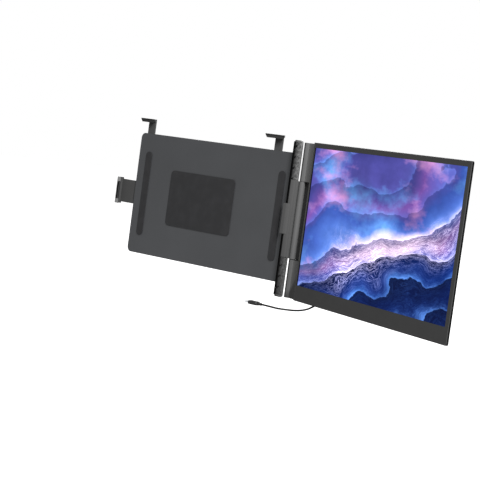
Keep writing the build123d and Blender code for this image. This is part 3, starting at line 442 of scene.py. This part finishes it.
def anodised(name, colour, rough=0.5):
    """Blasted and anodised aluminium: fine even sparkle under a soft gloss."""
    graph = Graph(name)
    sparkle = graph.noise(4200, 2, 0.7)
    cloud = graph.noise(9, 3)
    tint = graph.mix(graph.ramp(cloud, 0.3, 0.7), shade(colour, 0.93), shade(colour, 1.06))
    tint = graph.mix(graph.ramp(sparkle, 0.5, 0.72, 0.0, 0.35), tint, shade(colour, 1.5))
    mask, soft = edge_wear(graph, 0.0003, 0.4)
    tint = graph.mix(mask, tint, shade(colour, 2.2))
    gloss = graph.plus(graph.ramp(cloud, 0.3, 0.7, rough - 0.04, rough + 0.05),
                       graph.ramp(sparkle, 0.3, 0.7, -0.05, 0.05))
    return graph.finish(tint, gloss, graph.bump(sparkle, 0.25, 0.00002, soft), Metallic=0.7)


def circuit_board():
    """Green solder resist with faint copper tracks."""
    graph = Graph("board_green")
    upright = graph.node("ShaderNodeMapping", Vector=graph.turned(axis_point), Rotation=(pi / 2, 0, 0))
    tracks = graph.node(
        "ShaderNodeTexBrick",
        Vector=upright.outputs["Vector"],
        Scale=260.0,
        Color1=(0.02, 0.12, 0.05, 1),
        Color2=(0.03, 0.16, 0.07, 1),
        Mortar=(0.07, 0.26, 0.11, 1),
        Mortar_Size=0.012,
    ).outputs["Color"]
    fleck = graph.noise(900, 3)
    body = graph.mix(graph.ramp(fleck, 0.45, 0.7, 0.0, 0.3), tracks, (0.01, 0.06, 0.03, 1))
    return graph.finish(body, graph.ramp(fleck, 0.3, 0.7, 0.28, 0.42), graph.bump(fleck, 0.2, 0.00003))


def film(name, colour, rough):
    """Thin sheet of the display stack."""
    graph = Graph(name)
    cloud = graph.noise(30, 3)
    tint = graph.mix(cloud, shade(colour, 0.95), shade(colour, 1.04))
    return graph.finish(tint, graph.ramp(cloud, 0.3, 0.7, rough - 0.05, rough + 0.08),
                        graph.bump(graph.noise(3000, 2), 0.1, 0.00001))


# The picture on the display

# Lanes rise to the right by this slope, and so many folds fit into one display width
lane_rise = 0.3
fold_count = 8.5
# Middle of the pale glow: its place across, and its lane
glow_across, glow_lane = 0.6, 0.075
# Lit part of the glass, from its left border to its right one
lit_left, lit_right = (0.0035, 0.0055), (0.9975, 0.9985)

light_blue = (0.16, 0.42, 0.92, 1)
rose = (0.66, 0.3, 0.6, 1)
glow_pink = (1.0, 0.7, 0.76, 1)
valley_blue = (0.002, 0.022, 0.2, 1)
crest_blue = (0.14, 0.36, 1.0, 1)
crest_white = (0.95, 0.78, 1.0, 1)
border_black = (0.004, 0.003, 0.012, 1)
sky_stops = [
    (0.0, (0.14, 0.13, 0.6, 1)),
    (0.14, (0.27, 0.12, 0.55, 1)),
    (0.28, (0.08, 0.17, 0.74, 1)),
    (0.42, (0.12, 0.27, 0.84, 1)),
    (0.52, (0.4, 0.22, 0.6, 1)),
    (0.6, (0.07, 0.1, 0.55, 1)),
    (0.74, (0.004, 0.06, 0.5, 1)),
    (1.0, (0.002, 0.03, 0.3, 1)),
]


class Picture(Graph):
    """Folded ribbons. Across runs from 0 to 1 over the display, height upwards in the same unit."""

    def __init__(self, name):
        super().__init__(name)
        width = (display_right - display_left) * mm
        corner = on_panel(display_left, 0, display_bottom)
        self.across, _, self.height = self.axes(self.turned(corner, (1 / width, 1 / width, 1 / width)))
        # Lanes rise to the right and bend slowly
        slow = self.centred(self.soft(1.3, 1.9, 3.0, 2), 0.62)
        quick = self.centred(self.soft(3.4, 4.6, 11.0, 4), 0.16)
        straight = self.minus(self.height, self.times(self.across, lane_rise))
        self.lane = self.plus(straight, self.plus(slow, quick))
        # Folds follow the lanes, each with a crest at its start
        wander = self.centred(self.soft(6.0, 8.0, 17.0, 4, 0.6), 0.5)
        self.phase = self.plus(self.times(self.lane, fold_count), wander)
        self.fold = self.math("FRACT", self.phase)
        fading = self.math("POWER", self.minus(1.0, self.fold), 8.0)
        self.crest = self.most(fading, self.ramp(self.fold, 0.97, 1.0))
        # Depth runs from 0 on the uppermost lanes to 1 on the lowest ones
        shift = self.centred(self.soft(2.2, 3.0, 23.0), 0.12)
        self.depth = self.ramp(self.plus(self.lane, shift), 0.34, -0.18)
        # The crests are palest near the glow, and brighter in patches
        self.off_glow = self.glow_distance()
        self.pale = self.mix(self.ramp(self.off_glow, 0.3, 0.02), crest_blue, crest_white)
        self.patchy = self.ramp(self.soft(4.0, 6.0, 47.0, 4), 0.38, 0.6, 0.15, 1.0)

    def plane(self, x, y, layer):
        """Point of a flat slice through the noise's space."""
        return self.node("ShaderNodeCombineXYZ", X=x, Y=y, Z=layer).outputs["Vector"]

    def soft(self, x_scale, y_scale, layer, detail=3, roughness=0.5):
        """Noise stretched over the display, another one on each layer."""
        spot = self.plane(self.times(self.across, x_scale), self.times(self.height, y_scale), layer)
        return self.noise(1.0, detail, roughness, spot)

    def centred(self, value, reach):
        """Noise from 0 to 1 brought about zero, over a reach."""
        return self.times(self.minus(value, 0.5), reach)

    def bell(self, value, middle, half):
        """1 at the middle value, down to 0 at half a width from it."""
        return self.ramp(self.apart(value, middle), half, 0.0)

    def glow_distance(self):
        """Squared distance from the pale glow, which is stretched along the lanes."""
        off_lane = self.minus(self.lane, glow_lane)
        off_side = self.minus(self.across, glow_across)
        return self.plus(self.times(self.times(off_side, off_side), 0.55),
                         self.times(self.times(off_lane, off_lane), 9.0))

    def sky(self):
        """Violet above to deep blue below, with clouds of light blue and rose."""
        sky = self.colours(self.depth, sky_stops)
        cool = self.ramp(self.soft(2.8, 4.4, 31.0, 5, 0.6), 0.5, 0.66, 0.0, 0.8)
        sky = self.mix(self.times(cool, self.ramp(self.depth, 0.6, 0.4)), sky, light_blue)
        rosy = self.ramp(self.soft(3.2, 5.6, 37.0, 5, 0.6), 0.53, 0.68, 0.0, 0.85)
        return self.mix(self.times(rosy, self.ramp(self.depth, 0.66, 0.48)), sky, rose)

    def with_glow(self, sky):
        """Pale, cloudy glow."""
        cloudy = self.ramp(self.soft(5.0, 9.0, 41.0, 5, 0.6), 0.3, 0.6, 0.4, 0.9)
        return self.mix(self.times(self.ramp(self.off_glow, 0.07, 0.0), cloudy), sky, glow_pink)

    def with_folds(self, sky):
        """Dark undersides and bright crests."""
        valley = self.ramp(self.fold, 0.22, 0.9)
        deep = self.ramp(self.depth, 0.35, 0.58, 0.3, 0.97)
        sky = self.mix(self.times(valley, deep), sky, valley_blue)
        bright = self.ramp(self.depth, 0.3, 0.6, 0.3, 0.9)
        return self.mix(self.times(self.times(self.crest, self.patchy), bright), sky, self.pale)

    def with_threads(self, sky):
        """Fine threads along the folds."""
        drawn = self.plane(self.times(self.plus(self.across, self.times(self.height, 0.4)), 7.0),
                           self.times(self.phase, 5.0), 53.0)
        thread = self.bell(self.noise(1.0, 7, 0.68, drawn, 0.6), 0.5, 0.035)
        hair = self.bell(self.noise(2.4, 7, 0.72, drawn, 0.5), 0.5, 0.03)
        near_glow = self.ramp(self.off_glow, 0.25, 0.0, 0.12, 0.95)
        strength = self.plus(near_glow, self.times(self.crest, 0.5))
        share = self.times(self.ramp(self.depth, 0.36, 0.56), strength)
        sky = self.mix(self.times(self.times(thread, share), self.patchy), sky, self.pale)
        return self.mix(self.times(self.times(hair, share), 0.8), sky, self.pale)

    def with_contrast(self, sky):
        """Each spot's brightness is spread about the middle, more so in some patches."""
        brightness = self.node("ShaderNodeRGBToBW", Color=sky).outputs["Val"]
        patches = self.ramp(self.soft(3.6, 5.4, 61.0, 5, 0.6), 0.32, 0.68, 1.72, 3.05)
        return self.mix(1.0, sky, self.times(self.math("POWER", brightness, 0.64), patches), "MULTIPLY")


def picture():
    """Lit display under matt glass: ribbons in violet, light blue and deep blue, with a pale glow."""
    art = Picture("display_picture")
    shown = art.with_contrast(art.with_threads(art.with_folds(art.with_glow(art.sky()))))
    inside = art.times(art.ramp(art.across, *lit_left), art.ramp(art.across, *lit_right[::-1]))
    art.feed(art.shader.inputs["Emission Color"], art.mix(inside, border_black, shown))
    frost = art.noise(5200, 2, 0.6)
    dark = art.mix(frost, grey(0.0), grey(0.002))
    return art.finish(dark, art.ramp(frost, 0.3, 0.7, 0.36, 0.46), art.bump(frost, 0.1, 0.00001),
                      Emission_Strength=1.0, Specular_IOR_Level=0.008)


# Materials of the CAD nodes

column_grey = plastic("column_plastic", grey(0.049), 0.62, wear=0.15, spread=0.05, sheen=0.05,
                      dress=column_painted_shadows)
rib_grey = plastic("grip_plastic", grey(0.085), 0.62, wear=0.3, round_edge=0.00012, spread=0.05, sheen=0.05,
                   dress=shaded_worn_ribs)
wing_grey = plastic("wing_plastic", grey(0.055), 0.7, wear=0.08, spread=0.05, sheen=0.1, dress=painted_wing_shading)
bezel_black = plastic("bezel_plastic", grey(0.0138), 0.6, grain=3200, depth=0.00002, wear=0.2,
                      round_edge=0.0003, spread=0.04, sheen=0.05, dress=painted_side_shade)
cover_grey = plastic("cover_plastic", grey(0.016), 0.6, grain=1700, depth=0.00005, wear=0.3, spread=0.04,
                     smear=0.02)
slide_grey = plastic("slide_plastic", grey(0.018), 0.6, sheen=0.04, dress=lips_with_painted_shade)
button_grey = plastic("button_plastic", grey(0.03), 0.4)
plug_grey = plastic("plug_plastic", grey(0.006), wear=0.3, sheen=0.12)
speaker_black = plastic("speaker_plastic", grey(0.006), 0.6)
plate_dark = anodised("plate_aluminium", (0.028, 0.029, 0.031, 1))
stand_dark = anodised("stand_aluminium", (0.024, 0.025, 0.027, 1))
silicone = rubber("pad_silicone", (0.006, 0.006, 0.0065, 1))
foam = rubber("foam_black", grey(0.0006), 0.95, grain=900, sheen=0.0)
steel = metal("steel_turned", (0.55, 0.56, 0.58, 1), 0.28)
black_steel = metal("screw_black", (0.07, 0.07, 0.075, 1), 0.4)
tray_metal = metal("tray_sheet", (0.62, 0.63, 0.65, 1), 0.35, stretch=(1, 1, 12), scale=500)
board_green = circuit_board()
ribbon_amber = film("ribbon_amber", (0.42, 0.2, 0.04, 1), 0.35)
white_film = film("diffuser_film", (0.85, 0.87, 0.9, 1), 0.4)
clear_guide = film("light_guide_acrylic", (0.8, 0.85, 0.88, 1), 0.15)
lamp_white = film("lamp_strip", (0.9, 0.9, 0.82, 1), 0.4)
cord_black = rubber("cord_jacket", grey(0.0012), 0.5, grain=2400, sheen=0.02)

node_materials = {
    "bracket_rear_cover": cover_grey,
    "bracket_front_plate": plate_dark,
    "middle_rest_pad": silicone,
    "side_rest_pads": silicone,
    "hinge_column": column_grey,
    "right_clip_pad": silicone,
    "side_cushion": foam,
    "hinge_shaft_upper": steel,
    "hinge_shaft_lower": steel,
    "kickstand_pin": steel,
    "left_clamp_arm": slide_grey,
    "left_clamp_pad": silicone,
    "top_hook_left": slide_grey,
    "top_hook_left_pad": silicone,
    "top_hook_right": slide_grey,
    "top_hook_right_pad": silicone,
    "kickstand": stand_dark,
    "kickstand_foot": silicone,
    "front_bezel": bezel_black,
    "rear_shell": cover_grey,
    "hinge_wing_upper": wing_grey,
    "hinge_wing_lower": wing_grey,
    "hinge_cap_upper": wing_grey,
    "hinge_cap_lower": wing_grey,
    "hinge_leaf_upper": steel,
    "hinge_leaf_lower": steel,
    "lcd_glass": picture(),
    "optical_films": white_film,
    "light_guide": clear_guide,
    "led_bar": lamp_white,
    "backlight_tray": tray_metal,
    "driver_board": board_green,
    "display_ribbon": ribbon_amber,
    "usb_c_socket_display": steel,
    "usb_c_socket_power": steel,
    "mini_video_socket": steel,
    "speaker_left": speaker_black,
    "speaker_right": speaker_black,
    "button_board": board_green,
    "panel_plug_shell": steel,
    "far_plug_shell": steel,
    "power_button": button_grey,
    "up_button": button_grey,
    "down_button": button_grey,
    "panel_plug_grip": plug_grey,
    "far_plug_grip": plug_grey,
    "cable": cord_black,
}
for name, made in node_materials.items():
    for slot in nodes[name].material_slots:
        slot.material = made


def linked(name, data):
    """New object in the scene."""
    made = bpy.data.objects.new(name, data)
    bpy.context.collection.objects.link(made)
    return made


def mesh_of(shape, name, material):
    """The mesh of a bmesh, which is freed."""
    made = bpy.data.meshes.new(name)
    shape.to_mesh(made)
    shape.free()
    made.materials.append(material)
    return made


# The cable, mm

cable_diameter = 2.5
cable_points = [
    (291.43, -28.34, -101.0),
    (278.24, -23.65, -101.0),
    (260.1, -15.6, -109.2),
    (246.3, -28.2, -121.9),
    (222.3, -51.1, -123.1),
    (207.6, -59.6, -121.2),
    (195.6, -59.6, -121.2),
]
curve = bpy.data.curves.new("cable_jacket", "CURVE")
curve.dimensions = "3D"
spline = curve.splines.new("NURBS")
spline.points.add(len(cable_points) - 1)
for place, point in zip(spline.points, cable_points):
    place.co = (*(Vector(point) * mm), 1.0)
spline.order_u = 3
spline.use_endpoint_u = True
spline.resolution_u = 16
curve.bevel_depth = cable_diameter / 2 * mm
curve.bevel_resolution = 6
curve.materials.append(cord_black)
cable = linked("cable_jacket", curve)
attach(cable, "panel")
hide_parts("cable")

# The grips' ribs


def rib_ends(rise, low, high):
    """Where a slanted rib starts and stops; rise is its height above X = 0, the notches cut its start."""
    turn = (rise - notch_offset) / notch_pitch
    off_notch = abs(turn - round(turn)) * notch_pitch
    start = grip_left + notch_length * max(0.0, 1 - off_notch / notch_half)
    start = max(start, (low + rib_base - rise) / rib_rise)
    return start, min(grip_right, (high - rib_base - rise) / rib_rise)


def add_rib(shape, rise, start, stop):
    """One rib with sloped sides and ends, its base just inside the column's front."""
    rings = []
    for inset, half, depth in ((0, rib_base, -rib_sunk), (rib_slope, rib_top, rib_height)):
        left, right = start + inset, stop - inset
        ring = []
        for x, off in ((left, -half), (right, -half), (right, half), (left, half)):
            ring.append(shape.verts.new((x, column_front - depth, rise + rib_rise * x + off)))
        rings.append(ring)
    base, top = rings
    shape.faces.new(base)
    shape.faces.new(top[::-1])
    for k in range(4):
        shape.faces.new((base[k], top[k], top[(k + 1) % 4], base[(k + 1) % 4]))


def grip_mesh(name, low, high):
    """Slanted ribs that fill the column's front between two heights."""
    shape = bmesh.new()
    first = low - rib_rise * grip_right
    for number in range(int((high - rib_rise * grip_left - first) / rib_pitch) + 1):
        rise = first + number * rib_pitch
        start, stop = rib_ends(rise, low, high)
        if stop - start >= shortest_rib:
            add_rib(shape, rise, start, stop)
    bmesh.ops.recalc_face_normals(shape, faces=shape.faces)
    return mesh_of(shape, name, rib_grey)


grip_spans = {"grip_ribs_upper": (grip_start, grip_end), "grip_ribs_lower": (-grip_end, -grip_start)}
for name, (low, high) in grip_spans.items():
    ribs = linked(name, grip_mesh(name, low, high))
    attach(ribs, "bracket")

# Black washers in the gaps between the middle knuckle and the panel's knuckles, metres: they hide the bright
# shaft and stand in for the shade in the gaps

# Heights of the gaps' lower faces over the hinge's point
gap_low_faces = {"upper": 0.0541, "lower": -0.0560}
washer_inner, washer_outer = 0.00205, 0.0040
washer_thickness = 0.0003
washer_clearance = 0.00005
washer_sides = 48


def shadow_washer_mesh():
    """Flat ring that stands on Z = 0."""
    shape = bmesh.new()
    section = ((washer_inner, 0), (washer_outer, 0),
               (washer_outer, washer_thickness), (washer_inner, washer_thickness))
    angles = [2 * pi * k / washer_sides for k in range(washer_sides)]
    rings = [[shape.verts.new((radius * cos(a), radius * sin(a), height)) for a in angles]
             for radius, height in section]
    for ring, following in zip(rings, rings[1:] + rings[:1]):
        for k in range(washer_sides):
            after = (k + 1) % washer_sides
            shape.faces.new((ring[k], ring[after], following[after], following[k]))
    bmesh.ops.recalc_face_normals(shape, faces=shape.faces)
    return mesh_of(shape, "hinge_shadow_washer", foam)


ring_mesh = shadow_washer_mesh()
for place, low_face in gap_low_faces.items():
    washer = linked(f"hinge_shadow_washer_{place}", ring_mesh)
    washer.location = axis_point + Vector((0, 0, low_face + washer_clearance))
    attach(washer, "bracket")

# Screws, mm

screw_radius = 2.1
screw_proud = 0.35
screw_bevel = 0.1
screw_sides = 40
cross_reach, cross_half = 1.2, 0.3
recess_radius, recess_depth = 1.5, 0.12
recess_sides = 24
# Each screw is turned on by this angle from the one before, radians
screw_turn = 0.7


def head_outline():
    """Curve of the head: its rim, and the cross recess as a hole in it."""
    outline = bpy.data.curves.new("screw_outline", "CURVE")
    outline.dimensions = "2D"
    outline.fill_mode = "BOTH"
    outline.extrude = screw_proud / 2 * mm
    outline.bevel_depth = screw_bevel * mm
    outline.offset = -screw_bevel * mm
    outline.bevel_resolution = 2
    angles = [2 * pi * k / screw_sides for k in range(screw_sides)]
    rim = [(screw_radius * cos(a), screw_radius * sin(a)) for a in angles]
    quarter = [(cross_reach, -cross_half), (cross_reach, cross_half), (cross_half, cross_half)]
    cross = []
    for turn in range(4):
        swing = Matrix.Rotation(turn * pi / 2, 2)
        cross += [tuple(swing @ Vector(point)) for point in quarter]
    for loop in (rim, cross):
        line = outline.splines.new("POLY")
        line.points.add(len(loop) - 1)
        for spot, (x, y) in zip(line.points, loop):
            spot.co = (x * mm, y * mm, 0, 1)
        line.use_cyclic_u = True
    return outline


def screw_mesh():
    """Low pan head about the origin, facing +Z, with a floor under its cross recess."""
    outline = head_outline()
    shaped = linked("screw_outline", outline)
    bpy.context.view_layer.update()
    head = bpy.data.meshes.new_from_object(shaped.evaluated_get(bpy.context.evaluated_depsgraph_get()))
    bpy.data.objects.remove(shaped)
    bpy.data.curves.remove(outline)
    joined = bmesh.new()
    joined.from_mesh(head)
    bmesh.ops.create_circle(joined, cap_ends=True, segments=recess_sides, radius=recess_radius * mm,
                            matrix=Matrix.Translation((0, 0, -recess_depth * mm)))
    joined.to_mesh(head)
    joined.free()
    head.name = "screw_head"
    head.materials.clear()
    head.materials.append(black_steel)
    return head


head_mesh = screw_mesh()
cover_screws = [(-98, 84.5), (7.7, 84.5), (108, 84.5), (-128, -82), (-76, -82), (112, -82), (168.5, 74),
                (168.5, 0), (168.5, -74)]
shell_screws = [(60, shell_rear), (350, shell_rear), (180, box_rear), (272, box_rear)]
shell_screw_height = -100.7
places = [("bracket", Vector((x, cover_rear, z)) * mm, Vector((0, 1, 0))) for x, z in cover_screws]
for along, behind in shell_screws:
    places.append(("panel", on_panel(along, behind, shell_screw_height), panel_behind))
for number, (body, place, outwards) in enumerate(places, 1):
    screw = linked(f"{body}_screw_{number}", head_mesh)
    facing = outwards.to_track_quat("Z", "Y").to_matrix().to_4x4()
    swing = Matrix.Rotation(screw_turn * number, 4, "Z")
    screw.matrix_world = Matrix.Translation(place + outwards * screw_proud / 2 * mm) @ facing @ swing
    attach(screw, body)

# Floor, light and camera, metres

floor_height = -0.165
floor_half = 6.0
floor_shape = bmesh.new()
bmesh.ops.create_grid(floor_shape, x_segments=1, y_segments=1, size=floor_half)
floor_graph = Graph("floor_white")
floor_tone = floor_graph.mix(floor_graph.noise(3, 2), grey(0.03), grey(0.034))
floor_white = floor_graph.finish(floor_tone, 0.9, Emission_Color=(1, 1, 1, 1), Emission_Strength=0.97)
floor = linked("floor", mesh_of(floor_shape, "floor", floor_white))
floor.location = (0, 0, floor_height)

world = bpy.data.worlds.new("studio")
bpy.context.scene.world = world
world.use_nodes = True
backdrop = world.node_tree.nodes["Background"]
backdrop.inputs["Color"].default_value = (1.0, 1.0, 1.0, 1)
backdrop.inputs["Strength"].default_value = 1.0

# The lights aim at this point of the panel
subject = on_panel(60, 0, 0)


def from_azimuth(azimuth, elevation, distance):
    """Place at a distance from the subject, azimuth counted from +X towards +Y, degrees."""
    level = cos(radians(elevation)) * distance
    return subject + Vector((level * cos(radians(azimuth)), level * sin(radians(azimuth)),
                             distance * sin(radians(elevation))))


def area_light(name, place, size, power):
    """Rectangular light of a width and height, aimed at the subject; its power is in watts."""
    lamp = bpy.data.lights.new(name, "AREA")
    lamp.shape = "RECTANGLE"
    lamp.size, lamp.size_y = size
    lamp.energy = power
    lit = linked(name, lamp)
    lit.location = place
    lit.rotation_euler = (subject - place).to_track_quat("-Z", "Y").to_euler()


area_light("key_light", from_azimuth(window_azimuth, 30, 3.0), (0.9, 1.4), 530)
area_light("back_light", from_azimuth(120, 35, 3.2), (2.0, 1.4), 285)

# The photo's viewpoint, mm, and its directions, as solved from its straight lines
view_from = Vector((1499.2, -1633.6, 89.0)) * mm
view_ahead = Vector((-0.6521, 0.7557, -0.0613)).normalized()
view_right = Vector((0.7449, 0.6536, 0.1337))
view_right = (view_right - view_ahead * view_right.dot(view_ahead)).normalized()
view_up = view_right.cross(view_ahead)

camera = bpy.data.cameras.new("camera")
camera.sensor_width = 36.0
camera.lens = 111.12
camera.clip_start = 0.05
camera.clip_end = 60.0
viewer = linked("camera", camera)
viewer.matrix_world = Matrix((
    (view_right.x, view_up.x, -view_ahead.x, view_from.x),
    (view_right.y, view_up.y, -view_ahead.y, view_from.y),
    (view_right.z, view_up.z, -view_ahead.z, view_from.z),
    (0, 0, 0, 1),
))
bpy.context.scene.camera = viewer
bpy.context.scene.view_settings.view_transform = "Standard"
